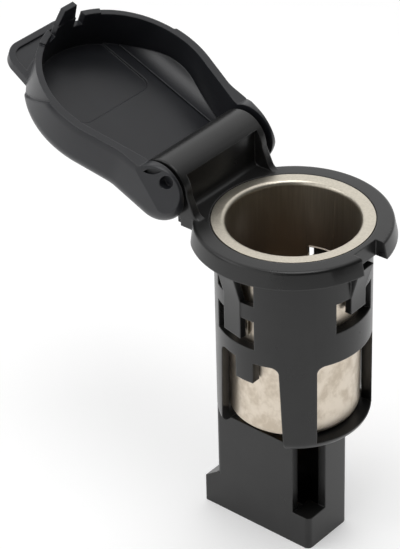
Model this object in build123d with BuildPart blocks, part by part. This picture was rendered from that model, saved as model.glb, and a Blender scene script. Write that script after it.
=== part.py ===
"""Car 12 V power socket: a drawn metal barrel in a clip-in plastic housing with a hinged lid.

Millimetres. The origin is on the barrel axis at the underside of the housing flange, where the socket
sits on its panel. +Z points out of the panel, +Y towards the lid hinge.
"""

import os
from math import acos, asin, atan2, cos, degrees, hypot, radians, sin, tan

from build123d import *

os.makedirs("parts", exist_ok=True)

# Barrel, a drawn cup of sheet steel
bore_d = 21.0
barrel_wall = 0.5
barrel_depth = 36.2
barrel_flange_d = 26.7
lip_radius = 0.8
cup_corner_radius = 2.0
cup_edge_radius = 1.2
lance_y = 2.4
lance_w = 4.25
lance_top_z = -9.2
lance_len = 5.0
lance_lean = 0.2
lance_slit = 0.4
lance_top_slit = 1.9
lance_lip = 0.2
catch_slot_z = -19.9
catch_slot_h = 2.8
catch_slot_w = 2.8

# Housing flange
flange_d = 32.6
flange_t = 3.0
flange_edge_radius = 0.5
flange_seat_clearance = 0.2
notch_w = 5.8
notch_depth = 1.9

# Cage round the barrel
cage_od = 26.0
cage_wall = 1.7
cage_floor_t = 1.7
cage_floor_gap = 0.1
cage_corner_radius = 2.0
side_clip_angle = 168.0
side_opening_span = 41.0
side_opening_bottom_z = -15.3
clip_bar_top_z = -6.9
clip_bar_h = 2.9
clip_bar_t = 1.0
side_clip_w = 4.1
side_clip_bottom_z = -13.9
front_clip_angle = 271.5
front_opening_span = 43.0
front_opening_top_z = -6.6
front_opening_h = 5.7
front_clip_w = 3.9
front_clip_bottom_z = -9.7
clip_top_z = -1.2
clip_t = 1.2
clip_reach = 1.5
window_top_z = -18.0
window_corner_radius = 1.3
side_window_top_w = 11.8
side_window_bottom_w = 13.4
front_window_w = 14.9
catch_tab_y = 0.2
catch_tab_w = 3.6
catch_tab_len = 4.0
catch_nub_reach = 0.7
catch_nub_w = 2.2
catch_nub_h = 1.9

# Connector shroud
shroud_w = 10.7
shroud_len = 20.3
shroud_mid_y = 2.85
shroud_drop = 3.4
shroud_h = 20.5
shroud_wall = 1.5
shroud_edge_radius = 1.0
shroud_roof_t = 1.3
ledge_reach = 2.5
ledge_h = 7.2
ledge_slope_drop = 1.8
key_slot_w = 4.55
key_slot_len = 3.6
key_slot_h = 12.8

# Hinge
hinge_reach = 2.25
hinge_rise = 3.75
hood_r = 4.95
hood_wall = 1.4
hood_lip_angle = 141.0
hood_back_angle = -40.0
bracket_w = 20.8
rib_t = 1.4
rib_foot_set_in = 4.4
rib_back_set_in = 1.25
rib_foot_radius = 1.6
rib_back_radius = 1.0
rib_edge_radius = 0.35
bracket_wall_set_in = 1.1
bracket_wall_t = 1.0
bracket_wall_foot_radius = 1.0
bracket_base_t = 2.2
bracket_blend_radius = 2.5
journal_r = 2.0
journal_clearance = 0.1
journal_end = 0.3

# Lid
lid_open_angle = 158.0
lid_gap = 0.15
lid_overhang = 0.25
lid_wall = 1.1
lid_step = 0.65
lid_step_reach = 3.4
lid_step_slope = 42.0
lid_edge_radius = 2.8
lid_crown_fall = 1.0
lid_plateau_depth = 6.8
crescent_extra = 0.7
plateau_half_w = 10.6
scoop_half_w = 2.5
panel_w = 17.2
panel_len = 14.6
panel_depth = 0.35
panel_corner_radius = 2.0
ear_r = 5.2
ear_gap = 1.0
ear_t = 2.7
ear_shoulder_gap = 2.4
ear_blend_radius = 6.0
lid_hood_clearance = 0.4
hook_w = 4.4
hook_tip_w = 2.9
hook_len = 3.6
hook_t = 1.0
hook_slit_w = 1.9
hook_slit_depth = 1.8
rim_land_h = 0.35
rim_land_angle = 28.0
tab_overhang = 4.45
tab_tip_w = 16.0
tab_root_w = 19.0
tab_root_set_in = 6.1
tab_t = 1.5
tab_corner_radius = 4.0
tab_border = 1.2
tab_panel_depth = 0.4
ear_crease_y = -1.1
ear_crease_z = -1.1
ear_crease_angle = 31.0
ear_face_tilt = 25.0
ear_hole_r = 1.1
ear_hole_skin = 0.2
ear_hole_y = 1.28
ear_hole_z = -3.6
ear_lens_len = 3.1
ear_lens_w = 0.95
ear_lens_depth = 0.8
ear_lens_x = -1.85
ear_lens_y = 2.5
ear_lens_angle = 65.0

# Contact assembly in the barrel bottom
terminal_t = 0.8
terminal_w = 6.3
terminal_recess = 6.9
terminal_bend_radius = 0.4
terminal_tip_chamfer = 0.8
terminal_eye_r = 0.9
terminal_eye_from_tip = 3.4
terminal_slot_clearance = 0.3
positive_y = 3.6
positive_tab_len = 7.4
ground_y = 8.9
ground_tab_len = 4.1
stud_shank_r = 1.5
stud_head_r = 3.6
stud_head_h = 1.0
stud_side_h = 0.4
rivet_head_r = 2.6
rivet_head_h = 1.0
contact_clearance = 0.1
bush_sleeve_r = 2.9
bush_flange_r = 6.0
bush_flange_t = 0.8
washer_side_gap = 0.2
washer_t = 0.8

# Places worked out from the sizes above
bore_r = bore_d / 2
barrel_r = bore_r + barrel_wall
barrel_bottom_z = flange_t - barrel_depth
barrel_floor_z = barrel_bottom_z + barrel_wall
seat_z = flange_t - barrel_wall
cage_r = cage_od / 2
cage_inner_r = cage_r - cage_wall
cage_floor_top_z = barrel_bottom_z - cage_floor_gap
cage_floor_z = cage_floor_top_z - cage_floor_t
clip_bar_bottom_z = clip_bar_top_z - clip_bar_h
shroud_top_z = cage_floor_z - shroud_drop
shroud_bottom_z = shroud_top_z - shroud_h
shroud_roof_z = shroud_top_z - shroud_roof_t
key_slot_z = shroud_roof_z - key_slot_h
shroud_front_y = shroud_mid_y - shroud_len / 2
shroud_back_y = shroud_mid_y + shroud_len / 2
cavity_w = shroud_w - 2 * shroud_wall
cavity_len = shroud_len - 2 * shroud_wall
flange_r = flange_d / 2
seat_r = barrel_flange_d / 2 + flange_seat_clearance
notch_r = flange_r - notch_depth
hinge_y = flange_r + hinge_reach
hinge_z = flange_t + hinge_rise
rib_foot_y = flange_r - rib_foot_set_in
rib_back_y = flange_r - rib_back_set_in
rib_inner_x = bracket_w / 2 - rib_t
bracket_wall_y = flange_r - bracket_wall_set_in
bracket_base_z = flange_t - bracket_base_t
ear_inner_x = bracket_w / 2 + ear_gap
ear_outer_x = ear_inner_x + ear_t
rim_z = flange_t + lid_gap - hinge_z
plateau_z = rim_z + lid_plateau_depth
lid_side_r = flange_r + lid_overhang
lid_front_r = lid_side_r - lid_step
lid_inner_r = lid_front_r - lid_wall
panel_near = hinge_y + lid_inner_r - panel_len
scoop_r = (scoop_half_w**2 + crescent_extra**2) / (2 * crescent_extra)
shoulder_reach = hinge_y - ear_r - ear_shoulder_gap
shoulder_span = hypot(ear_outer_x, shoulder_reach)
lid_cheek_angle = degrees(atan2(shoulder_reach, ear_outer_x) - acos(lid_side_r / shoulder_span))
tab_reach = hinge_y + lid_front_r + tab_overhang
tab_root = hinge_y + lid_front_r - tab_root_set_in
terminal_tip_z = shroud_bottom_z + terminal_recess
washer_r = cavity_w / 2 - washer_side_gap
washer_bottom_z = barrel_bottom_z - washer_t
rivet_seat_z = washer_bottom_z - terminal_t


def radial_plane(angle):
    """Plane that holds the barrel axis, with its x axis pointing outwards at a polar angle."""
    outwards = (cos(radians(angle)), sin(radians(angle)), 0)
    return Plane(origin=(0, 0, 0), x_dir=outwards, z_dir=(sin(radians(angle)), -cos(radians(angle)), 0))


def cut_wall_opening(angle, span, low_z, high_z, depth=2 * cage_wall):
    """Cut into the cage wall from inside, centred on a polar angle, between two heights."""
    with BuildSketch(Plane.XY.offset(low_z)) as opening:
        with BuildLine():
            inner = CenterArc((0, 0), cage_inner_r - cage_wall / 2, angle - span / 2, span)
            outer = CenterArc((0, 0), cage_inner_r + depth, angle - span / 2, span)
            Line(inner @ 0, outer @ 0)
            Line(inner @ 1, outer @ 1)
        make_face()
    extrude(opening.sketch, amount=high_z - low_z, mode=Mode.SUBTRACT)


def add_spring_clip(angle, width, bottom_z, knee_z):
    """Add a panel clip: upright below its knee, flaring outwards above it to just under the flange."""
    with BuildSketch(radial_plane(angle)) as clip:
        with BuildLine():
            Polyline(
                (cage_r, bottom_z),
                (cage_r, knee_z),
                (cage_r + clip_reach, clip_top_z),
                (cage_r + clip_reach - clip_t, clip_top_z),
                (cage_r - clip_t, knee_z),
                (cage_r - clip_t, bottom_z),
                close=True,
            )
        make_face()
    extrude(clip.sketch, amount=width / 2, both=True)


def cut_side_window(side):
    """Cut the tall window on one side, left open down to the shroud, with the barrel's catch tab in it."""
    start = side * shroud_w / 2
    with BuildSketch(Plane.YZ.offset(start)) as window:
        with BuildLine():
            Polyline(
                (-side_window_top_w / 2, window_top_z),
                (side_window_top_w / 2, window_top_z),
                (side_window_bottom_w / 2, shroud_top_z),
                (-side_window_bottom_w / 2, shroud_top_z),
                close=True,
            )
        make_face()
        fillet(window.vertices().group_by(Axis.Y)[-1], radius=window_corner_radius)
        with Locations((catch_tab_y, window_top_z)):
            Rectangle(
                catch_tab_w, catch_tab_len, align=(Align.CENTER, Align.MAX), mode=Mode.SUBTRACT
            )
    extrude(window.sketch, amount=side * cage_od, mode=Mode.SUBTRACT)


def cut_front_window(side):
    """Cut the window at the front or the back, which ends at the cage floor."""
    with BuildSketch(Plane.XZ.offset(-side * cage_inner_r / 2)) as window:
        with Locations((0, window_top_z)):
            Rectangle(front_window_w, window_top_z - cage_floor_top_z, align=(Align.CENTER, Align.MAX))
        fillet(window.vertices().group_by(Axis.Y)[-1], radius=window_corner_radius)
    extrude(window.sketch, amount=-side * cage_od, mode=Mode.SUBTRACT)


# One hinge rib, with its outer edge softened, made by itself and joined to the housing below
with BuildPart() as hinge_rib:
    with BuildSketch(Plane.YZ.offset(rib_inner_x)) as rib:
        with BuildLine():
            toe_y = rib_foot_y - rib_foot_radius
            rib_back_angle = degrees(acos((rib_back_y - hinge_y) / hood_r))
            rib_round = CenterArc((hinge_y, hinge_z), hood_r, -rib_back_angle, 180 + rib_back_angle)
            Polyline(
                rib_round @ 0,
                (rib_back_y, bracket_base_z),
                (toe_y, bracket_base_z),
                (toe_y, flange_t),
                (rib_foot_y, flange_t),
                rib_round @ 1,
            )
        make_face()
        foot = rib.vertices().sort_by_distance((rib_foot_y, flange_t))[0]
        fillet(foot, radius=rib_foot_radius)
        hollow = rib.vertices().sort_by_distance(rib_round @ 0)[0]
        fillet(hollow, radius=rib_back_radius)
    extrude(amount=rib_t)
    outer_edges = hinge_rib.faces().sort_by(Axis.X)[-1].edges()
    fillet(outer_edges.filter_by(lambda e: (e @ 0.5).Z > flange_t + rib_edge_radius), radius=rib_edge_radius)

# Housing: flange, cage, connector shroud and hinge bracket in one moulding
with BuildPart() as housing:
    # Flange and cage turned about the barrel axis
    with BuildSketch(Plane.XZ):
        with BuildLine():
            Polyline(
                (0, cage_floor_z),
                (cage_r - cage_corner_radius, cage_floor_z),
            )
            RadiusArc(
                (cage_r - cage_corner_radius, cage_floor_z),
                (cage_r, cage_floor_z + cage_corner_radius),
                -cage_corner_radius,
            )
            Polyline(
                (cage_r, cage_floor_z + cage_corner_radius),
                (cage_r, 0),
                (flange_r, 0),
                (flange_r, flange_t),
                (seat_r, flange_t),
                (seat_r, seat_z),
                (cage_inner_r, seat_z),
                (cage_inner_r, cage_floor_top_z),
                (0, cage_floor_top_z),
                (0, cage_floor_z),
            )
        make_face()
    revolve(axis=Axis.Z)
    top_edges = housing.edges().filter_by(GeomType.CIRCLE).group_by(Axis.Z)[-1]
    fillet(top_edges.sort_by(SortBy.RADIUS)[-1], radius=flange_edge_radius)

    # Bracket base behind the flange, blended into its round outline
    with BuildSketch(Plane.XY.offset(bracket_base_z)) as base:
        Circle(flange_r - flange_edge_radius)
        Rectangle(bracket_w, rib_back_y, align=(Align.CENTER, Align.MIN))
        inner_corners = base.vertices().group_by(Axis.Y)[-2]
        fillet(inner_corners, radius=bracket_blend_radius)
    extrude(amount=bracket_base_t)

    # Two hinge ribs
    add(hinge_rib.part)
    mirror(hinge_rib.part, about=Plane.YZ)

    # Hood over the hinge and the set-back wall under its lip
    with BuildSketch(Plane.YZ):
        with BuildLine():
            hood_span = hood_lip_angle - hood_back_angle
            hood_out = CenterArc((hinge_y, hinge_z), hood_r, hood_back_angle, hood_span)
            hood_in = CenterArc((hinge_y, hinge_z), hood_r - hood_wall, hood_back_angle, hood_span)
            Line(hood_out @ 0, hood_in @ 0)
            Line(hood_out @ 1, hood_in @ 1)
        make_face()
    extrude(amount=bracket_w / 2 - rib_t / 2, both=True)
    with BuildSketch(Plane.YZ) as web:
        web_lip_z = hinge_z + (hood_r - hood_wall / 2) * sin(radians(hood_lip_angle))
        toe_y = bracket_wall_y - 2 * bracket_wall_foot_radius
        with BuildLine():
            Polyline(
                (toe_y, bracket_base_z),
                (toe_y, flange_t),
                (bracket_wall_y, flange_t),
                (bracket_wall_y, web_lip_z),
                (bracket_wall_y + bracket_wall_t, web_lip_z),
                (bracket_wall_y + bracket_wall_t, bracket_base_z),
                close=True,
            )
        make_face()
        foot = web.vertices().sort_by_distance((bracket_wall_y, flange_t))[0]
        fillet(foot, radius=bracket_wall_foot_radius)
    extrude(amount=bracket_w / 2 - rib_t / 2, both=True)
    with BuildSketch(Plane.YZ):
        with Locations((hinge_y, hinge_z)):
            Circle(journal_r + journal_clearance)
    extrude(amount=bracket_w, both=True, mode=Mode.SUBTRACT)

    # Seat for the barrel, its flange flush with the housing's
    with BuildSketch(Plane.XY.offset(seat_z)):
        Circle(seat_r)
    extrude(amount=barrel_wall, mode=Mode.SUBTRACT)
    with BuildSketch(Plane.XY.offset(cage_floor_top_z)):
        Circle(cage_inner_r)
    extrude(amount=seat_z - cage_floor_top_z, mode=Mode.SUBTRACT)

    # Latch notch in the front of the flange
    with BuildSketch(Plane.XY):
        with Locations((0, -notch_r)):
            Rectangle(notch_w, flange_d, align=(Align.CENTER, Align.MAX))
    extrude(amount=flange_t, mode=Mode.SUBTRACT)

    # Clip openings under the flange, each with its spring clip
    for angle in (side_clip_angle, 180 - side_clip_angle):
        cut_wall_opening(angle, side_opening_span, side_opening_bottom_z, clip_bar_bottom_z)
        cut_wall_opening(angle, side_opening_span, clip_bar_top_z, 0)
        cut_wall_opening(angle, side_opening_span, clip_bar_bottom_z, clip_bar_top_z, cage_wall - clip_bar_t)
        add_spring_clip(angle, side_clip_w, side_clip_bottom_z, clip_bar_top_z)
    for angle in (front_clip_angle, -front_clip_angle):
        low_z = front_opening_top_z - front_opening_h
        cut_wall_opening(angle, front_opening_span, low_z, front_opening_top_z)
        add_spring_clip(angle, front_clip_w, front_clip_bottom_z, front_opening_top_z)

    # Tall windows below the clip band
    for side in (-1, 1):
        cut_side_window(side)
        cut_front_window(side)

    # Catch nubs that reach into the barrel's punched slots
    for side in (-1, 1):
        with BuildSketch(Plane.YZ.offset(side * (cage_inner_r - catch_nub_reach))):
            with Locations((catch_tab_y, catch_slot_z)):
                Rectangle(catch_nub_w, catch_nub_h)
        extrude(amount=side * (catch_nub_reach + cage_wall / 2))

    # Connector shroud hung from the cage floor by its end walls
    with BuildSketch(Plane.XY.offset(shroud_bottom_z)):
        with Locations((0, shroud_mid_y)):
            RectangleRounded(shroud_w, shroud_len, shroud_edge_radius)
    extrude(amount=shroud_h)
    with BuildSketch(Plane.XY.offset(shroud_top_z)):
        with Locations((0, shroud_mid_y)):
            RectangleRounded(shroud_w, shroud_len, shroud_edge_radius)
            Rectangle(shroud_w, cavity_len, mode=Mode.SUBTRACT)
    extrude(amount=cage_floor_top_z - shroud_top_z)
    with BuildSketch(Plane.YZ):
        with BuildLine():
            Polyline(
                (shroud_back_y - shroud_wall, shroud_bottom_z),
                (shroud_back_y + ledge_reach, shroud_bottom_z),
                (shroud_back_y + ledge_reach, shroud_bottom_z + ledge_h - ledge_slope_drop),
                (shroud_back_y, shroud_bottom_z + ledge_h),
                (shroud_back_y - shroud_wall, shroud_bottom_z + ledge_h),
                close=True,
            )
        make_face()
    extrude(amount=shroud_w / 2, both=True)
    with BuildSketch(Plane.XY.offset(shroud_bottom_z)):
        with Locations((0, shroud_mid_y)):
            Rectangle(cavity_w, cavity_len)
    extrude(amount=shroud_h - shroud_roof_t, mode=Mode.SUBTRACT)
    with BuildSketch(Plane.XY.offset(shroud_top_z)):
        with Locations((0, shroud_mid_y)):
            Rectangle(cavity_w, cavity_len)
    extrude(amount=cage_floor_top_z - shroud_top_z, mode=Mode.SUBTRACT)
    with BuildSketch(Plane.XY.offset(shroud_roof_z)):
        with Locations((0, positive_y), (0, ground_y)):
            Rectangle(terminal_w + 2 * terminal_slot_clearance, terminal_t + 2 * terminal_slot_clearance)
    extrude(amount=shroud_roof_t, mode=Mode.SUBTRACT)

    # Key slot at one front corner, open up to the cage floor and closed below by a sill
    key_corner = (key_slot_w - shroud_w / 2, shroud_front_y + key_slot_len)
    with BuildSketch(Plane.XY.offset(key_slot_z)):
        with Locations(key_corner):
            Rectangle(shroud_w, shroud_len, align=(Align.MAX, Align.MAX))
    extrude(amount=cage_floor_z - key_slot_z, mode=Mode.SUBTRACT)
    sill_size = (key_slot_w - shroud_wall / 2, key_slot_len - shroud_wall / 2)
    with BuildSketch(Plane.XY.offset(shroud_bottom_z)):
        with Locations(key_corner):
            Rectangle(*sill_size, align=(Align.MAX, Align.MAX))
    extrude(amount=key_slot_z - shroud_bottom_z)

# Barrel: drawn cup with a flat flange, a rolled lip, lanced tabs and punched catch slots
with BuildPart() as socket_barrel:
    with BuildSketch(Plane.XZ):
        with BuildLine():
            hole_r = bush_sleeve_r + contact_clearance
            Line((hole_r, barrel_floor_z), (bore_r - cup_corner_radius, barrel_floor_z))
            RadiusArc(
                (bore_r - cup_corner_radius, barrel_floor_z),
                (bore_r, barrel_floor_z + cup_corner_radius),
                -cup_corner_radius,
            )
            Line((bore_r, barrel_floor_z + cup_corner_radius), (bore_r, flange_t - lip_radius))
            RadiusArc((bore_r, flange_t - lip_radius), (bore_r + lip_radius, flange_t), lip_radius)
            Polyline(
                (bore_r + lip_radius, flange_t),
                (barrel_flange_d / 2, flange_t),
                (barrel_flange_d / 2, seat_z),
                (barrel_r, seat_z),
                (barrel_r, barrel_bottom_z + cup_edge_radius),
            )
            RadiusArc(
                (barrel_r, barrel_bottom_z + cup_edge_radius),
                (barrel_r - cup_edge_radius, barrel_bottom_z),
                cup_edge_radius,
            )
            Polyline(
                (barrel_r - cup_edge_radius, barrel_bottom_z),
                (hole_r, barrel_bottom_z),
                (hole_r, barrel_floor_z),
            )
        make_face()
    revolve(axis=Axis.Z)
    for side in (-1, 1):
        with BuildSketch(Plane.YZ):
            with Locations((lance_y, lance_top_z)):
                Rectangle(lance_w, lance_len, align=(Align.CENTER, Align.MAX))
            with Locations((catch_tab_y, catch_slot_z)):
                Rectangle(catch_slot_w, catch_slot_h)
        extrude(amount=side * barrel_r, mode=Mode.SUBTRACT)
        lance_angle = degrees(asin(lance_y / barrel_r))
        with BuildSketch(radial_plane(lance_angle if side > 0 else 180 - lance_angle)):
            with BuildLine():
                tongue_tip_z = lance_top_z - lance_top_slit
                tongue_root_z = lance_top_z - lance_len
                Polyline(
                    (bore_r, tongue_root_z - barrel_wall),
                    (barrel_r, tongue_root_z - barrel_wall),
                    (barrel_r, tongue_root_z),
                    (barrel_r + lance_lean, tongue_tip_z),
                    (bore_r + lance_lean, tongue_tip_z),
                    (bore_r, tongue_root_z),
                    close=True,
                )
            make_face()
        extrude(amount=lance_w / 2 - lance_slit, both=True)
        lip_span = 2 * degrees(asin(lance_w / 2 / bore_r))
        with BuildSketch(radial_plane((lance_angle if side > 0 else 180 - lance_angle) - lip_span / 2)):
            with BuildLine():
                Polyline(
                    (bore_r + barrel_wall / 2, lance_top_z),
                    (bore_r - lance_lip, lance_top_z),
                    (bore_r, lance_top_z + lance_lip),
                    (bore_r + barrel_wall / 2, lance_top_z + lance_lip),
                    close=True,
                )
            make_face()
        revolve(axis=Axis.Z, revolution_arc=lip_span)

# Bush that keeps the contact stud off the barrel
with BuildPart() as contact_insulator:
    with BuildSketch(Plane.XZ):
        with BuildLine():
            bush_bore_r = stud_shank_r + contact_clearance
            bush_top_z = barrel_floor_z + bush_flange_t
            Polyline(
                (bush_bore_r, barrel_bottom_z),
                (bush_sleeve_r, barrel_bottom_z),
                (bush_sleeve_r, barrel_floor_z),
                (bush_flange_r, barrel_floor_z),
                (bush_flange_r, bush_top_z),
                (bush_bore_r, bush_top_z),
                close=True,
            )
        make_face()
    revolve(axis=Axis.Z)

# Contact stud, domed where it meets the plug and riveted over below
with BuildPart() as centre_contact:
    with BuildSketch(Plane.XZ):
        with BuildLine():
            head_top_z = bush_top_z + stud_head_h
            Polyline(
                (0, head_top_z),
                (0, rivet_seat_z - rivet_head_h),
                (rivet_head_r - rivet_head_h / 2, rivet_seat_z - rivet_head_h),
                (rivet_head_r, rivet_seat_z - rivet_head_h / 2),
                (rivet_head_r, rivet_seat_z),
                (stud_shank_r, rivet_seat_z),
                (stud_shank_r, bush_top_z),
                (stud_head_r, bush_top_z),
                (stud_head_r, bush_top_z + stud_side_h),
            )
            dome_h = stud_head_h - stud_side_h
            dome_r = (stud_head_r**2 + dome_h**2) / (2 * dome_h)
            RadiusArc((stud_head_r, bush_top_z + stud_side_h), (0, head_top_z), -dome_r)
        make_face()
    revolve(axis=Axis.Z)

# Washer between the barrel bottom and the positive terminal
with BuildPart() as insulating_washer:
    with BuildSketch(Plane.XY.offset(washer_bottom_z)):
        Circle(washer_r)
        Circle(stud_shank_r + contact_clearance, mode=Mode.SUBTRACT)
    extrude(amount=washer_t)


def blade_profile(blade_y, tab_top_z, tab_len):
    """Draw the side view of a blade terminal: a flat tab bent down into its blade."""
    back_y = blade_y + terminal_t / 2
    front_y = blade_y - terminal_t / 2
    with BuildLine() as outline:
        FilletPolyline(
            (back_y, terminal_tip_z),
            (back_y, tab_top_z),
            (back_y - tab_len, tab_top_z),
            radius=terminal_bend_radius + terminal_t,
        )
        Line((back_y - tab_len, tab_top_z), (back_y - tab_len, tab_top_z - terminal_t))
        FilletPolyline(
            (back_y - tab_len, tab_top_z - terminal_t),
            (front_y, tab_top_z - terminal_t),
            (front_y, terminal_tip_z),
            radius=terminal_bend_radius,
        )
        Line((front_y, terminal_tip_z), (back_y, terminal_tip_z))
    make_face(outline.edges())


def finish_blade(blade_y):
    """Punch the eye near a blade's tip and take off the corners of the tip."""
    with BuildSketch(Plane.XZ.offset(-blade_y - terminal_t)) as punched:
        with Locations((0, terminal_tip_z + terminal_eye_from_tip)):
            Circle(terminal_eye_r)
        for side in (-1, 1):
            with BuildLine():
                Polyline(
                    (side * terminal_w / 2, terminal_tip_z + terminal_tip_chamfer),
                    (side * (terminal_w / 2 - terminal_tip_chamfer), terminal_tip_z),
                    (side * terminal_w / 2, terminal_tip_z),
                    close=True,
                )
            make_face()
    extrude(punched.sketch, amount=2 * terminal_t, mode=Mode.SUBTRACT)


# Positive terminal, clamped by the stud's rivet head
with BuildPart() as positive_terminal:
    with BuildSketch(Plane.YZ):
        blade_profile(positive_y, washer_bottom_z, positive_tab_len)
    extrude(amount=terminal_w / 2, both=True)
    finish_blade(positive_y)
    with BuildSketch(Plane.XY.offset(rivet_seat_z)):
        Circle(stud_shank_r + contact_clearance)
    extrude(amount=terminal_t, mode=Mode.SUBTRACT)

# Ground terminal, joined flat to the underside of the barrel
with BuildPart() as ground_terminal:
    with BuildSketch(Plane.YZ):
        blade_profile(ground_y, barrel_bottom_z, ground_tab_len)
    extrude(amount=terminal_w / 2, both=True)
    finish_blade(ground_y)

# Lid: drawn on planes that follow it open. Their y axis points to the back of the closed lid, z outwards
swing = radians(lid_open_angle)
lid_plane = Plane(origin=(0, hinge_y, hinge_z), x_dir=(1, 0, 0), z_dir=(0, sin(swing), cos(swing)))
lid_side_plane = Plane(origin=(0, hinge_y, hinge_z), x_dir=lid_plane.y_dir, z_dir=(1, 0, 0))


def lid_outline(radius, shoulder_x):
    """Draw a round outline that runs back along tangents to straight shoulders beside the hinge."""
    cheek = radians(lid_cheek_angle)
    shoulder_y = (radius - shoulder_x * cos(cheek)) / sin(cheek) - hinge_y
    with BuildLine() as outline:
        round_front = CenterArc((0, -hinge_y), radius, 180 - lid_cheek_angle, 180 + 2 * lid_cheek_angle)
        for side, tangent_point in ((-1, round_front @ 0), (1, round_front @ 1)):
            corner = (side * shoulder_x, shoulder_y)
            FilletPolyline(tangent_point, corner, (side * shoulder_x, 2 * ear_r), radius=ear_blend_radius)
        Line((-shoulder_x, 2 * ear_r), (shoulder_x, 2 * ear_r))
    make_face(outline.edges())


def crown_point(reach, depth=0):
    """Point on the lid's back, or that depth under it, at this distance from the hinge."""
    fall = radians(lid_crown_fall)
    return (-reach, ear_r / cos(fall) - reach * tan(fall) - depth)


def tab_outline():
    """Draw the finger tab's plan: a rounded tip that flares back into the lid."""
    with BuildLine() as outline:
        FilletPolyline(
            (-tab_root_w / 2, -tab_root),
            (-tab_tip_w / 2, -tab_reach),
            (tab_tip_w / 2, -tab_reach),
            (tab_root_w / 2, -tab_root),
            radius=tab_corner_radius,
        )
        Line((tab_root_w / 2, -tab_root), (-tab_root_w / 2, -tab_root))
    make_face(outline.edges())


# Finger tab at the front of the lid, made by itself and joined to the lid below
with BuildPart() as finger_tab:
    with BuildSketch(lid_side_plane):
        with BuildLine():
            Polyline(
                crown_point(tab_root),
                crown_point(tab_reach),
                crown_point(tab_reach, tab_t),
                crown_point(tab_root, tab_t),
                close=True,
            )
        make_face()
    extrude(amount=tab_root_w, both=True)
    with BuildSketch(lid_plane):
        tab_outline()
    extrude(amount=2 * ear_r, mode=Mode.INTERSECT)
    with BuildSketch(lid_plane):
        tab_outline()
        offset(amount=-tab_border, mode=Mode.REPLACE)
        with Locations((0, -hinge_y)):
            Circle(lid_front_r + tab_border / 2, mode=Mode.SUBTRACT)
    extrude(amount=crown_point(tab_reach, tab_t)[1] + tab_panel_depth, mode=Mode.SUBTRACT)

# What is taken off the front of the lid's wall, up to a sloping ledge on each side
with BuildPart() as front_relief:
    with BuildSketch(lid_plane.offset(-ear_r)):
        with Locations((0, -hinge_y)):
            Circle(2 * lid_side_r)
            Circle(lid_front_r, mode=Mode.SUBTRACT)
    extrude(amount=3 * ear_r)
    with BuildSketch(lid_side_plane):
        with BuildLine():
            ledge_run = 3 * ear_r / tan(radians(lid_step_slope))
            ledge_start = (-hinge_y - lid_step_reach, rim_z)
            ledge_end = (ledge_start[0] - ledge_run, rim_z + 3 * ear_r)
            Polyline(ledge_start, ledge_end, (ledge_end[0] - lid_side_r, rim_z), close=True)
        make_face()
    extrude(amount=2 * lid_side_r, both=True, mode=Mode.INTERSECT)


# Hollow scoop along each side of the dish floor, inside the round wall
with BuildPart() as side_scoops:
    scoop_end = lid_plane.from_local_coords((0, 0, plateau_z + crescent_extra - scoop_r))
    with BuildSketch(Plane(origin=scoop_end, x_dir=(1, 0, 0), z_dir=-lid_plane.y_dir)):
        scoop_x = plateau_half_w + scoop_half_w
        with Locations((-scoop_x, 0), (scoop_x, 0)):
            Circle(scoop_r)
    extrude(amount=2 * hinge_y)
    with BuildSketch(lid_plane.offset(rim_z)):
        with Locations((0, -hinge_y)):
            Circle(lid_inner_r)
    extrude(amount=2 * ear_r, mode=Mode.INTERSECT)


def ear_face(side):
    """Plane of the sloping face on an ear: its x axis follows the crease where the slope starts."""
    crease, tilt = radians(ear_crease_angle), radians(ear_face_tilt)
    along = lid_plane.y_dir * cos(crease) + lid_plane.z_dir * sin(crease)
    across = lid_plane.y_dir * sin(crease) - lid_plane.z_dir * cos(crease)
    outwards = Vector(side, 0, 0) * cos(tilt) + across * sin(tilt)
    start = lid_plane.from_local_coords((side * ear_outer_x, ear_crease_y, ear_crease_z))
    return Plane(origin=start, x_dir=along, z_dir=outwards)


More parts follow.
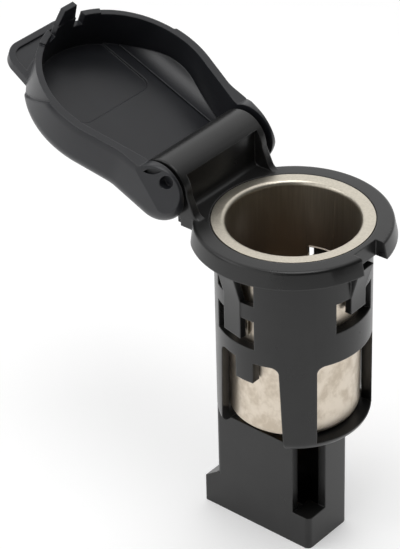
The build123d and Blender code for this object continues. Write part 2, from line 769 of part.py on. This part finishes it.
with BuildPart() as lid:
    # Outer form: the plan outline trimmed to the side view, with soft outer edges
    with BuildSketch(lid_plane.offset(-ear_r)):
        lid_outline(lid_side_r, ear_outer_x)
    extrude(amount=2 * ear_r)
    with BuildSketch(lid_side_plane):
        with BuildLine():
            round_end = CenterArc((0, 0), ear_r, -90, 180 + lid_crown_fall)
            far_corner = crown_point(hinge_y + lid_side_r + tab_border)
            Polyline(round_end @ 1, far_corner, (far_corner[0], -ear_r), round_end @ 0)
        make_face()
    extrude(amount=lid_side_r + tab_border, both=True, mode=Mode.INTERSECT)
    straight = lid.edges().filter_by(GeomType.LINE)
    across = straight.filter_by(lambda e: abs(e.tangent_at(0).X) > 0.99)
    upright = straight.filter_by(lambda e: abs(e.tangent_at(0).dot(lid_plane.z_dir)) > 0.99)
    fillet(lid.edges() - across - upright, radius=lid_edge_radius)

    # Everything below the rim goes, apart from the round ears
    with BuildSketch(lid_side_plane):
        with Locations((0, rim_z)):
            Rectangle(3 * hinge_y, 2 * ear_r, align=(Align.MAX, Align.MAX))
        Circle(ear_r, mode=Mode.SUBTRACT)
    extrude(amount=2 * lid_side_r, both=True, mode=Mode.SUBTRACT)

    # The front of the rim is set in from the sides, and the ears slope in towards the hinge
    add(front_relief.part, mode=Mode.SUBTRACT)
    for side in (-1, 1):
        split(bisect_by=ear_face(side), keep=Keep.BOTTOM)
    add(finger_tab.part)

    # Dish, its side crescents and the shallow panel in its floor
    with BuildSketch(lid_plane.offset(rim_z)):
        lid_outline(lid_inner_r, ear_inner_x)
    extrude(amount=lid_plateau_depth, mode=Mode.SUBTRACT)
    add(side_scoops.part, mode=Mode.SUBTRACT)
    with BuildSketch(lid_plane.offset(plateau_z)):
        with Locations((0, -panel_near)):
            RectangleRounded(panel_w, 2 * panel_len, panel_corner_radius, align=(Align.CENTER, Align.MAX))
        with Locations((0, -hinge_y)):
            Circle(lid_inner_r, mode=Mode.INTERSECT)
    extrude(amount=panel_depth, mode=Mode.SUBTRACT)

    # Room for the hinge hood between the ears, and the stub journals
    with BuildSketch(lid_side_plane):
        Circle(hood_r + lid_hood_clearance)
    extrude(amount=ear_inner_x, both=True, mode=Mode.SUBTRACT)
    for side in (-1, 1):
        with BuildSketch(lid_side_plane.offset(side * (ear_inner_x + ear_t / 2))):
            Circle(journal_r)
        extrude(amount=-side * (ear_t / 2 + ear_gap + rib_t + journal_end))

    # Two lands on the rim beside the latch, on which the closed lid rests
    with BuildSketch(lid_plane.offset(rim_z)):
        with BuildLine():
            land_in = CenterArc((0, -hinge_y), lid_inner_r, 270 - rim_land_angle, 2 * rim_land_angle)
            land_out = CenterArc((0, -hinge_y), lid_front_r, 270 - rim_land_angle, 2 * rim_land_angle)
            Line(land_in @ 0, land_out @ 0)
            Line(land_in @ 1, land_out @ 1)
        make_face()
    extrude(amount=-rim_land_h)

    # Latch hook with a slit on each side of it
    hook_origin = lid_plane.from_local_coords((0, -hinge_y - lid_inner_r, 0))
    hook_plane = Plane(origin=hook_origin, x_dir=(1, 0, 0), z_dir=-lid_plane.y_dir)
    with BuildSketch(hook_plane):
        with BuildLine():
            Polyline(
                (-hook_w / 2, rim_z + hook_slit_depth),
                (-hook_w / 2, rim_z),
                (-hook_tip_w / 2, rim_z - hook_len),
                (hook_tip_w / 2, rim_z - hook_len),
                (hook_w / 2, rim_z),
                (hook_w / 2, rim_z + hook_slit_depth),
                close=True,
            )
        make_face()
    extrude(amount=hook_t)
    with BuildSketch(hook_plane):
        slit_x = (hook_w + hook_slit_w) / 2
        with Locations((-slit_x, rim_z), (slit_x, rim_z)):
            Rectangle(hook_slit_w, 2 * hook_slit_depth)
    extrude(amount=2 * hook_t, both=True, mode=Mode.SUBTRACT)

    # Round hole and lens-shaped pocket in the sloping face of each ear
    lens_r = (ear_lens_len**2 + ear_lens_w**2) / (4 * ear_lens_w)
    for side in (-1, 1):
        with BuildSketch(lid_side_plane.offset(side * (ear_inner_x + ear_hole_skin))):
            with Locations((ear_hole_y, ear_hole_z)):
                Circle(ear_hole_r)
        extrude(amount=side * ear_t, mode=Mode.SUBTRACT)
        with BuildSketch(ear_face(side)):
            with BuildLine(Location((ear_lens_x, -side * ear_lens_y, 0), (0, 0, -side * ear_lens_angle))):
                RadiusArc((-ear_lens_len / 2, 0), (ear_lens_len / 2, 0), lens_r)
                RadiusArc((ear_lens_len / 2, 0), (-ear_lens_len / 2, 0), lens_r)
            make_face()
        extrude(amount=-ear_lens_depth, mode=Mode.SUBTRACT)

nodes = {
    "housing": housing,
    "lid": lid,
    "socket_barrel": socket_barrel,
    "contact_insulator": contact_insulator,
    "centre_contact": centre_contact,
    "insulating_washer": insulating_washer,
    "positive_terminal": positive_terminal,
    "ground_terminal": ground_terminal,
}
for name, node in nodes.items():
    node.part.label = name
    export_step(node.part, f"parts/{name}.step")
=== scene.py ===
"""Looks for a car 12 V power socket: satin black housing, charcoal lid, plated steel barrel, brass contacts.

Metres, in the frame of the solids: the barrel axis is Z, the flange underside is z = 0, the hinge is at +Y.
"""

import math

import bmesh
import bpy
from mathutils import Matrix, Vector


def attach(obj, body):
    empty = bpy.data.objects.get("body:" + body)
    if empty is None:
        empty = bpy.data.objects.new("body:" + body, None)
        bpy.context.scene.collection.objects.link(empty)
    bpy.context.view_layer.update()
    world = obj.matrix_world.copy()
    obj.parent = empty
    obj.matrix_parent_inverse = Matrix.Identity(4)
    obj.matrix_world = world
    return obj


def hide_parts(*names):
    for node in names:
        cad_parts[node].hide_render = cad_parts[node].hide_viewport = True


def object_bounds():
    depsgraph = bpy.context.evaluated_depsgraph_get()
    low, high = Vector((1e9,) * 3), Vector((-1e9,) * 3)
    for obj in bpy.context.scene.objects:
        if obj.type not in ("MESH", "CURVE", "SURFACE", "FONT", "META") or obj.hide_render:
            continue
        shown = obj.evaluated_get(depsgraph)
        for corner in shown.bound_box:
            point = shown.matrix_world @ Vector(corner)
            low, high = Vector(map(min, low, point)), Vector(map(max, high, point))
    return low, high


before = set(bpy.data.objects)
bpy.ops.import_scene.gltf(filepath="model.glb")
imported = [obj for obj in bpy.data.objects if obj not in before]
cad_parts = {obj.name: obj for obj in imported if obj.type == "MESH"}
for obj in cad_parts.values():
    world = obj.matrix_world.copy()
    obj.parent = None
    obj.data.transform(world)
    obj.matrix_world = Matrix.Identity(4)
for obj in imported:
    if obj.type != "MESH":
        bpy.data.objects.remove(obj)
cad_low, cad_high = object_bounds()

MM = 0.001
FLANGE_HEIGHT = 3.0 * MM

# The photograph's camera, found from the barrel rim, the flange and the shroud
VIEW_AZIMUTH = math.radians(-49.31)
VIEW_ELEVATION = math.radians(33.5)
VIEW_ROLL = math.radians(-1.58)
VIEW_DISTANCE = 433.54 * MM
VIEW_RIGHT = -15.06 * MM
VIEW_UP = -9.24 * MM
VIEW_CLIP = (0.01, 10)
FLANGE_TOP = Vector((0, 0, FLANGE_HEIGHT))
FOCAL_PIXELS = 2688.55
LONG_SIDE_PIXELS = 549
SENSOR = 36.0

# Moulded plastic: IOR, edge rounding, and the turn of the normal over which an edge gets a painted highlight
PLASTIC_IOR = 1.46
EDGE_SOFTNESS = 0.3 * MM
EDGE_SAMPLES = 6
EDGE_HIGHLIGHT_TURN = (0.985, 0.8)
GRAIN_SIZE = 0.16 * MM
FLOW_MARK_SIZE = 5.0 * MM
FLOW_MARK_RANGE = (0.3, 0.7)
STREAK_SHARE = 0.5

# Plated steel: lines along the draw, stains on the outer wall, and painted shade that deepens down the bore
STEEL_SOFTNESS = 0.12 * MM
STEEL_ROUGHNESS = (0.32, 0.52)
STEEL_GRAIN_DEPTH = 0.004 * MM
DRAW_LINE_SIZE = 0.35 * MM
DRAW_LINE_STRETCH = (1, 1, 0.04)
DRAW_LINE_RANGE = (0.35, 0.65)
DRAW_LINE_HEIGHT = 0.6
DRAW_LINE_SHARE = 0.4
STAIN_SIZE = 2.4 * MM
STAIN_STRETCH = (1, 1, 0.8)
STAIN_RANGE = (0.38, 0.66)
OUTER_WALL = (0.3, 0.8)
BORE_WALL = (-0.3, -0.8)
BORE_SHADE_DEPTHS = (2.0 * MM, -12.0 * MM)
RING_LINE_DARK = (0.54, 0.5, 0.42)
RING_LINE_PALE = (0.605, 0.56, 0.475)
WALL_CLEAN = (0.705, 0.628, 0.527)
WALL_STAINED = (0.57, 0.493, 0.397)
BORE_SHADE = (0.44, 0.375, 0.315)

# Brass contacts and brown insulators
BRASS_SOFTNESS = 0.08 * MM
BRASS_ROUGHNESS = (0.25, 0.4)
BRASS_LINE_STRETCH = (1, 1, 0.05)
BRASS_LINE_DEPTH = 0.003 * MM
BRASS_BRIGHT = (0.74, 0.55, 0.25)
BRASS_TARNISHED = (0.5, 0.35, 0.15)
TARNISH_RANGE = (0.4, 0.7)
RESIN_SOFTNESS = 0.1 * MM
RESIN_ROUGHNESS = (0.45, 0.6)
RESIN_DARK = (0.22, 0.15, 0.09)
RESIN_PALE = (0.3, 0.21, 0.13)
SPECKLE_SIZE = 2 * GRAIN_SIZE
SPECKLE_RANGE = (0.35, 0.65)
SPECKLE_DEPTH = 0.006 * MM

# The flange as moulded: its side leans out towards the lower rim, fading out at the hinge bracket
FULL_LEAN_RADIUS = 16.55 * MM
RIM_WIDTH = 1.9 * MM
RIM_LEAN = 0.65 * MM
BRACKET_Y = 13.0 * MM
BRACKET_BLEND = 2.5 * MM

# The barrel's mouth stands out, and the wall below it tapers from there to the bottom
MOUTH_RADIUS = 12.0 * MM
MOUTH_SPREAD = 0.5 * MM

# Pieces made here: the angle past which an edge stays sharp, and how near points are merged
CREASE = math.radians(30)
WELD = 0.001 * MM

# The scoop in the lid's dish: a hollow curve from a straight edge on the dish floor up to the right wall
DISH_MIDDLE = Vector((0, 36.7, 10.72)) * MM
DISH_ALONG = Vector((0, 0.929, 0.370))
DISH_UP = Vector((0, -0.370, 0.929))
DISH_RADIUS = 14.85 * MM
DISH_WALL_TURN = -3.2 * MM
DISH_WALL_SLOPE = 0.297
SCOOP_EDGE_X = 10.6 * MM
SCOOP_ENDS = (-11.6 * MM, 10.2 * MM)
SCOOP_RADIUS = 6.2 * MM
SCOOP_LIP = 0.25 * MM
SCOOP_STEPS = (40, 12)

# Floor: white paper with a glow that fades towards the camera and stops under the shroud
FLOOR_HALF = 1.2
FLOOR_CORNERS = ((-1, -1), (1, -1), (1, 1), (-1, 1))
PAPER_WHITE = (0.8, 0.8, 0.8, 1)
PAPER_ROUGHNESS = 0.95
PAPER_GLOW = 0.3
GLOW_AHEAD = 0.2
GLOW_FADE = (0.065, 0.13)
TOWARDS_CAMERA = (math.sin(VIEW_AZIMUTH), -math.cos(VIEW_AZIMUTH), 0)
SHROUD_MIDDLE_Y = 2.85 * MM
SHROUD_HALF_X = 4.4 * MM
SHROUD_HALF_Y = 9.2 * MM
SHROUD_EDGE = (0.85, 1.15)

# Room: bright behind and above the socket, dim in front of it
WHITE = (1, 1, 1, 1)
BRIGHT_WAY = Vector((0.5, 0.6, 0.62)).normalized()
ROOM_DIM = 0.06
ROOM_BRIGHT = 1.14

# Lamps: name, place, width in metres and power in watts
LAMPS = (
    ("top_lamp", (-0.07, -0.09, 0.6), 0.34, 1.25),
    ("left_lamp", (-0.6, 0.1, 0.22), 0.7, 1.5),
    ("back_left_lamp", (-0.42, 0.42, 0.45), 0.3, 0.5),
)


def photo_camera():
    """Camera at the photograph's place, with its roll and its off-centre aim."""
    azimuth, elevation = VIEW_AZIMUTH, VIEW_ELEVATION
    back = Vector((
        math.sin(azimuth) * math.cos(elevation),
        -math.cos(azimuth) * math.cos(elevation),
        math.sin(elevation),
    ))
    level_right = Vector((math.cos(azimuth), math.sin(azimuth), 0))
    level_up = back.cross(level_right)
    right = level_right * math.cos(VIEW_ROLL) + level_up * math.sin(VIEW_ROLL)
    up = level_up * math.cos(VIEW_ROLL) - level_right * math.sin(VIEW_ROLL)
    data = bpy.data.cameras.new("photo_camera")
    data.sensor_width = SENSOR
    data.lens = FOCAL_PIXELS / LONG_SIDE_PIXELS * SENSOR
    data.clip_start, data.clip_end = VIEW_CLIP
    camera = bpy.data.objects.new("photo_camera", data)
    place = FLANGE_TOP + right * VIEW_RIGHT + up * VIEW_UP + back * VIEW_DISTANCE
    turn = Matrix((right, up, back)).transposed()
    camera.matrix_world = Matrix.Translation(place) @ turn.to_4x4()
    bpy.context.scene.collection.objects.link(camera)
    bpy.context.scene.camera = camera


class Finish:
    """A material under construction: its node tree, with short ways to add and join nodes."""

    def __init__(self, name):
        self.material = bpy.data.materials.new(name)
        self.material.use_nodes = True
        self.nodes = self.material.node_tree.nodes
        self.links = self.material.node_tree.links
        self.shader = self.nodes["Principled BSDF"]
        self.place = self.nodes.new("ShaderNodeTexCoord").outputs["Object"]

    def feed(self, socket, value):
        """Join another node's output to a socket, or set the socket to a plain value."""
        if isinstance(value, bpy.types.NodeSocket):
            self.links.new(value, socket)
        else:
            socket.default_value = value

    def set(self, **values):
        """Feed the shader's sockets; a name's underscores stand for spaces."""
        for name, value in values.items():
            self.feed(self.shader.inputs[name.replace("_", " ")], value)

    def calculate(self, operation, *values):
        """Result of a Math node."""
        node = self.nodes.new("ShaderNodeMath")
        node.operation = operation
        for socket, value in zip(node.inputs, values):
            self.feed(socket, value)
        return node.outputs["Value"]

    def vectors(self, operation, *values):
        """Outputs of a Vector Math node."""
        node = self.nodes.new("ShaderNodeVectorMath")
        node.operation = operation
        for socket, value in zip(node.inputs, values):
            self.feed(socket, value)
        return node.outputs

    def add(self, first, second, share):
        """First value plus a share of the second."""
        return self.calculate("MULTIPLY_ADD", second, share, first)

    def times(self, first, second):
        """Product of two values."""
        return self.calculate("MULTIPLY", first, second)

    def ramp(self, value, low, high):
        """Map a value from the range low to high onto 0 to 1, smoothly."""
        node = self.nodes.new("ShaderNodeMapRange")
        node.interpolation_type = "SMOOTHSTEP"
        self.feed(node.inputs["From Min"], low)
        self.feed(node.inputs["From Max"], high)
        self.feed(node.inputs["Value"], value)
        return node.outputs["Result"]

    def spread(self, value, low, high):
        """Map a value from 0 to 1 onto the range low to high."""
        node = self.nodes.new("ShaderNodeMapRange")
        self.feed(node.inputs["To Min"], low)
        self.feed(node.inputs["To Max"], high)
        self.feed(node.inputs["Value"], value)
        return node.outputs["Result"]

    def blend(self, first, second, share):
        """Mix of two values between 0 and 1, with the given share of the second."""
        return self.add(self.spread(first, 0, 1 - share), second, share)

    def mix_colour(self, factor, first, second):
        """Blend between two colours, each a socket or a plain colour."""
        node = self.nodes.new("ShaderNodeMix")
        node.data_type = "RGBA"
        self.feed(node.inputs["Factor"], factor)
        for socket, colour in ((node.inputs["A"], first), (node.inputs["B"], second)):
            self.feed(socket, (*colour, 1) if isinstance(colour, tuple) else colour)
        return node.outputs["Result"]

    def stretched(self, scale, shift=(0, 0, 0)):
        """Object coordinates stretched by a scale along each axis, then shifted."""
        node = self.nodes.new("ShaderNodeMapping")
        self.feed(node.inputs["Scale"], scale)
        self.feed(node.inputs["Location"], shift)
        self.feed(node.inputs["Vector"], self.place)
        return node.outputs["Vector"]

    def height(self):
        """Height above the flange underside."""
        node = self.nodes.new("ShaderNodeSeparateXYZ")
        self.feed(node.inputs["Vector"], self.place)
        return node.outputs["Z"]

    def true_normal(self):
        """Normal of the surface itself."""
        return self.nodes.new("ShaderNodeNewGeometry").outputs["Normal"]

    def outward(self):
        """How squarely a face looks away from the barrel axis: 1 on an outer wall, -1 in a bore."""
        from_axis = self.vectors("NORMALIZE", self.stretched((1, 1, 0)))["Vector"]
        return self.vectors("DOT_PRODUCT", from_axis, self.true_normal())["Value"]

    def noise(self, vector, size, detail, roughness=0.5):
        """Noise with features of about the given size."""
        node = self.nodes.new("ShaderNodeTexNoise")
        self.feed(node.inputs["Scale"], 1 / size)
        self.feed(node.inputs["Detail"], detail)
        self.feed(node.inputs["Roughness"], roughness)
        self.feed(node.inputs["Vector"], vector)
        return node.outputs["Fac"]

    def soft_edges(self, radius):
        """Normal that rounds the sharp edges of the solids."""
        node = self.nodes.new("ShaderNodeBevel")
        node.samples = EDGE_SAMPLES
        self.feed(node.inputs["Radius"], radius)
        return node.outputs["Normal"]

    def at_edges(self, rounded):
        """1 along the edges that a rounded normal softens, 0 on open faces."""
        return self.ramp(self.vectors("DOT_PRODUCT", self.true_normal(), rounded)["Value"], *EDGE_HIGHLIGHT_TURN)

    def bump(self, height, depth, normal):
        """Bump of a given depth from a height between 0 and 1, on top of another normal."""
        node = self.nodes.new("ShaderNodeBump")
        self.feed(node.inputs["Distance"], depth)
        self.feed(node.inputs["Height"], height)
        self.feed(node.inputs["Normal"], normal)
        return node.outputs["Normal"]


def moulded_plastic(name, dark, pale, edge_highlight, smooth, rough, grain_depth, streak):
    """Moulded plastic: fine grain, cloudy flow marks, a painted highlight that makes the edges paler, and a
    sheen that wanders along a streak.
    """
    finish = Finish(name)
    clouds = finish.noise(finish.place, FLOW_MARK_SIZE, detail=4)
    streaks = finish.noise(finish.stretched(streak), FLOW_MARK_SIZE, detail=3)
    grain = finish.noise(finish.place, GRAIN_SIZE, detail=2)
    rounded = finish.soft_edges(EDGE_SOFTNESS)
    colour = finish.mix_colour(finish.ramp(clouds, *FLOW_MARK_RANGE), dark, pale)
    # Painted highlight: the base colour turns paler along the edges that the rounded normal softens.
    finish.set(
        Base_Color=finish.mix_colour(finish.at_edges(rounded), colour, edge_highlight),
        Roughness=finish.spread(finish.blend(clouds, streaks, STREAK_SHARE), smooth, rough),
        Normal=finish.bump(grain, grain_depth, rounded),
        IOR=PLASTIC_IOR,
    )
    return finish.material


def plated_steel(name):
    """Drawn steel with satin nickel plate: draw lines, a stained outer wall, a clean ring and painted shade
    that darkens the bore towards its bottom.
    """
    finish = Finish(name)
    draw_lines = finish.noise(finish.stretched(DRAW_LINE_STRETCH), DRAW_LINE_SIZE, detail=3)
    stains = finish.noise(finish.stretched(STAIN_STRETCH), STAIN_SIZE, detail=5, roughness=0.65)
    grain = finish.noise(finish.place, GRAIN_SIZE, detail=2)
    outward = finish.outward()
    on_wall = finish.ramp(outward, *OUTER_WALL)
    stained = finish.times(finish.ramp(stains, *STAIN_RANGE), on_wall)
    # Painted shade: the bore's colour darkens from near its mouth down towards its bottom.
    bore_shade = finish.times(finish.ramp(outward, *BORE_WALL), finish.ramp(finish.height(), *BORE_SHADE_DEPTHS))
    ring = finish.mix_colour(finish.ramp(draw_lines, *DRAW_LINE_RANGE), RING_LINE_DARK, RING_LINE_PALE)
    wall = finish.mix_colour(stained, WALL_CLEAN, WALL_STAINED)
    plate = finish.mix_colour(on_wall, ring, wall)
    relief = finish.add(grain, draw_lines, DRAW_LINE_HEIGHT)
    finish.set(
        Base_Color=finish.mix_colour(bore_shade, plate, BORE_SHADE),
        Metallic=1.0,
        Roughness=finish.spread(finish.blend(stained, draw_lines, DRAW_LINE_SHARE), *STEEL_ROUGHNESS),
        Normal=finish.bump(relief, STEEL_GRAIN_DEPTH, finish.soft_edges(STEEL_SOFTNESS)),
    )
    return finish.material


def stamped_brass(name):
    """Stamped brass with rolling lines and faint tarnish."""
    finish = Finish(name)
    tarnish = finish.noise(finish.place, STAIN_SIZE, detail=5)
    lines = finish.noise(finish.stretched(BRASS_LINE_STRETCH), DRAW_LINE_SIZE, detail=2)
    finish.set(
        Base_Color=finish.mix_colour(finish.ramp(tarnish, *TARNISH_RANGE), BRASS_BRIGHT, BRASS_TARNISHED),
        Metallic=1.0,
        Roughness=finish.spread(lines, *BRASS_ROUGHNESS),
        Normal=finish.bump(lines, BRASS_LINE_DEPTH, finish.soft_edges(BRASS_SOFTNESS)),
    )
    return finish.material


def moulded_resin(name):
    """Brown heat-proof moulding with a fine speckle."""
    finish = Finish(name)
    speckle = finish.noise(finish.place, SPECKLE_SIZE, detail=3)
    finish.set(
        Base_Color=finish.mix_colour(finish.ramp(speckle, *SPECKLE_RANGE), RESIN_DARK, RESIN_PALE),
        Roughness=finish.spread(speckle, *RESIN_ROUGHNESS),
        Normal=finish.bump(speckle, SPECKLE_DEPTH, finish.soft_edges(RESIN_SOFTNESS)),
    )
    return finish.material


def finish_piece(form, mesh, name, body, material):
    """Turn a formed shape into a smooth piece that rides on a body."""
    for face in form.faces:
        face.smooth = True
    form.to_mesh(mesh)
    form.free()
    mesh.set_sharp_from_angle(angle=CREASE)
    mesh.materials.clear()
    mesh.materials.append(material)
    piece = bpy.data.objects.new(name, mesh)
    bpy.context.scene.collection.objects.link(piece)
    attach(piece, body)
    return piece


def eased(value):
    """Smooth step of a value held between 0 and 1."""
    value = min(max(value, 0), 1)
    return value * value * (3 - 2 * value)


def flange_draft(place):
    """How far a point of the housing stands out for the moulding draft of the flange's side."""
    if not -WELD <= place.z <= FLANGE_HEIGHT:
        return 0
    reach = math.hypot(place.x, place.y)
    at_rim = eased((reach - FULL_LEAN_RADIUS + RIM_WIDTH) / RIM_WIDTH)
    off_bracket = eased((BRACKET_Y - place.y) / BRACKET_BLEND)
    return RIM_LEAN * (1 - place.z / FLANGE_HEIGHT) * at_rim * off_bracket


def mouth_spread(place):
    """How far a point of the barrel's mouth stands out. Lower points stay, so the wall tapers."""
    in_mouth = place.z > 0 and math.hypot(place.x, place.y) < MOUTH_RADIUS
    return MOUTH_SPREAD if in_mouth else 0


def reshape(node, name, body, material, outward):
    """Stand a copy of a solid in its place, with its points moved outwards from the barrel axis."""
    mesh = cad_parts[node].data.copy()
    mesh.name = name
    mesh.attributes.remove(mesh.attributes["custom_normal"])
    form = bmesh.new()
    form.from_mesh(mesh)
    bmesh.ops.remove_doubles(form, verts=form.verts, dist=WELD)
    for vertex in form.verts:
        shift = outward(vertex.co)
        if shift:
            vertex.co += Vector((vertex.co.x, vertex.co.y, 0)).normalized() * shift
    piece = finish_piece(form, mesh, name, body, material)
    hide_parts(node)


def dish_wall_x(along):
    """How far the dish's right wall stands from the middle, at a place along the lid."""
    if along > DISH_WALL_TURN:
        return math.sqrt(DISH_RADIUS ** 2 - along ** 2)
    turn_x = math.sqrt(DISH_RADIUS ** 2 - DISH_WALL_TURN ** 2)
    return turn_x - DISH_WALL_SLOPE * (DISH_WALL_TURN - along)


def dish_scoop(material):
    """The hollow that runs up from the dish floor to its right wall, as a thin wedge with a small lip."""
    rows, columns = SCOOP_STEPS
    near, far = SCOOP_ENDS
    form = bmesh.new()
    top, foot = [], []
    for row in range(rows + 1):
        along = near + (far - near) * row / rows
        width = dish_wall_x(along) - SCOOP_EDGE_X
        for column in range(columns + 1):
            across = width * column / columns
            rise = SCOOP_LIP + SCOOP_RADIUS - math.sqrt(SCOOP_RADIUS ** 2 - across ** 2)
            floor_point = DISH_MIDDLE + DISH_ALONG * along + Vector((SCOOP_EDGE_X + across, 0, 0))
            top.append(form.verts.new(floor_point + DISH_UP * rise))
            foot.append(form.verts.new(floor_point - DISH_UP * SCOOP_LIP))
    stride = columns + 1
    for row in range(rows):
        for column in range(columns):
            first = row * stride + column
            ring = (first, first + 1, first + stride + 1, first + stride)
            form.faces.new([top[i] for i in ring])
            form.faces.new([foot[i] for i in reversed(ring)])
    outline = [edge for edge in form.edges if len(edge.link_faces) == 1]
    bmesh.ops.bridge_loops(form, edges=outline)
    bmesh.ops.recalc_face_normals(form, faces=form.faces)
    finish_piece(form, bpy.data.meshes.new("dish_scoop"), "dish_scoop", "lid", material)


def dress(node, material):
    """Give a node of the solids its finish."""
    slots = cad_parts[node].data.materials
    slots.clear()
    slots.append(material)


def white_paper():
    """Plain diffuse white that keeps the shadow, plus a glow for the eye and for gloss."""
    finish = Finish("white_paper")
    ray = finish.nodes.new("ShaderNodeLightPath").outputs
    seen = finish.calculate("MAXIMUM", ray["Is Camera Ray"], ray["Is Glossy Ray"])
    seen = finish.calculate("MAXIMUM", seen, ray["Is Transmission Ray"])
    ahead = finish.vectors("DOT_PRODUCT", finish.place, TOWARDS_CAMERA)["Value"]
    glow = finish.times(seen, finish.spread(finish.ramp(ahead, *GLOW_FADE), PAPER_GLOW, GLOW_AHEAD))
    from_shroud = finish.stretched(
        (1 / SHROUD_HALF_X, 1 / SHROUD_HALF_Y, 0),
        shift=(0, -SHROUD_MIDDLE_Y / SHROUD_HALF_Y, 0),
    )
    clear = finish.ramp(finish.vectors("LENGTH", from_shroud)["Value"], *SHROUD_EDGE)
    finish.set(
        Base_Color=PAPER_WHITE,
        Roughness=PAPER_ROUGHNESS,
        Specular_IOR_Level=0.0,
        Emission_Color=WHITE,
        Emission_Strength=finish.times(glow, clear),
    )
    return finish.material


def paper_floor():
    """A square of white paper that the shroud stands on."""
    mesh = bpy.data.meshes.new("floor")
    corners = [(x * FLOOR_HALF, y * FLOOR_HALF, cad_low.z) for x, y in FLOOR_CORNERS]
    mesh.from_pydata(corners, [], [range(len(corners))])
    mesh.materials.append(white_paper())
    floor = bpy.data.objects.new("floor", mesh)
    bpy.context.scene.collection.objects.link(floor)


def soft_room():
    """A world that brightens upwards and to the back right."""
    world = bpy.data.worlds.new("soft_room")
    world.use_nodes = True
    nodes, links = world.node_tree.nodes, world.node_tree.links
    facing = nodes.new("ShaderNodeVectorMath")
    facing.operation = "DOT_PRODUCT"
    facing.inputs[1].default_value = BRIGHT_WAY
    links.new(nodes.new("ShaderNodeTexCoord").outputs["Generated"], facing.inputs[0])
    level = nodes.new("ShaderNodeMapRange")
    level.interpolation_type = "SMOOTHSTEP"
    level.inputs["To Min"].default_value = ROOM_DIM
    level.inputs["To Max"].default_value = ROOM_BRIGHT
    links.new(facing.outputs["Value"], level.inputs["Value"])
    background = nodes["Background"]
    background.inputs["Color"].default_value = WHITE
    links.new(level.outputs["Result"], background.inputs["Strength"])
    bpy.context.scene.world = world


def soft_lamps():
    """Square lamps above, on the left and at the back left, each aimed at the origin."""
    for name, place, width, power in LAMPS:
        data = bpy.data.lights.new(name, "AREA")
        data.size = width
        data.energy = power
        lamp = bpy.data.objects.new(name, data)
        lamp.location = place
        lamp.rotation_euler = (-Vector(place)).to_track_quat("-Z", "Y").to_euler()
        bpy.context.scene.collection.objects.link(lamp)


photo_camera()
paper_floor()
soft_room()
soft_lamps()

housing_black = moulded_plastic(
    "housing_black",
    dark=(0.0102, 0.0102, 0.0101),
    pale=(0.0132, 0.0132, 0.013),
    edge_highlight=(0.055, 0.055, 0.054),
    smooth=0.22,
    rough=0.36,
    grain_depth=0.004 * MM,
    streak=(1, 1, 0.15),
)
lid_charcoal = moulded_plastic(
    "lid_charcoal",
    dark=(0.0118, 0.0125, 0.0152),
    pale=(0.0152, 0.016, 0.0192),
    edge_highlight=(0.028, 0.029, 0.032),
    smooth=0.26,
    rough=0.42,
    grain_depth=0.006 * MM,
    streak=(1, 0.3, 1),
)
barrel_nickel = plated_steel("barrel_nickel")
contact_brass = stamped_brass("contact_brass")
insulator_brown = moulded_resin("insulator_brown")

dress("housing", housing_black)
reshape("housing", "drafted_housing", "housing", housing_black, flange_draft)
dress("lid", lid_charcoal)
dish_scoop(lid_charcoal)
dress("socket_barrel", barrel_nickel)
reshape("socket_barrel", "wide_mouthed_barrel", "housing", barrel_nickel, mouth_spread)
for contact in ("centre_contact", "positive_terminal", "ground_terminal"):
    dress(contact, contact_brass)
for insulator in ("contact_insulator", "insulating_washer"):
    dress(insulator, insulator_brown)

bpy.context.scene.view_settings.view_transform = "Standard"
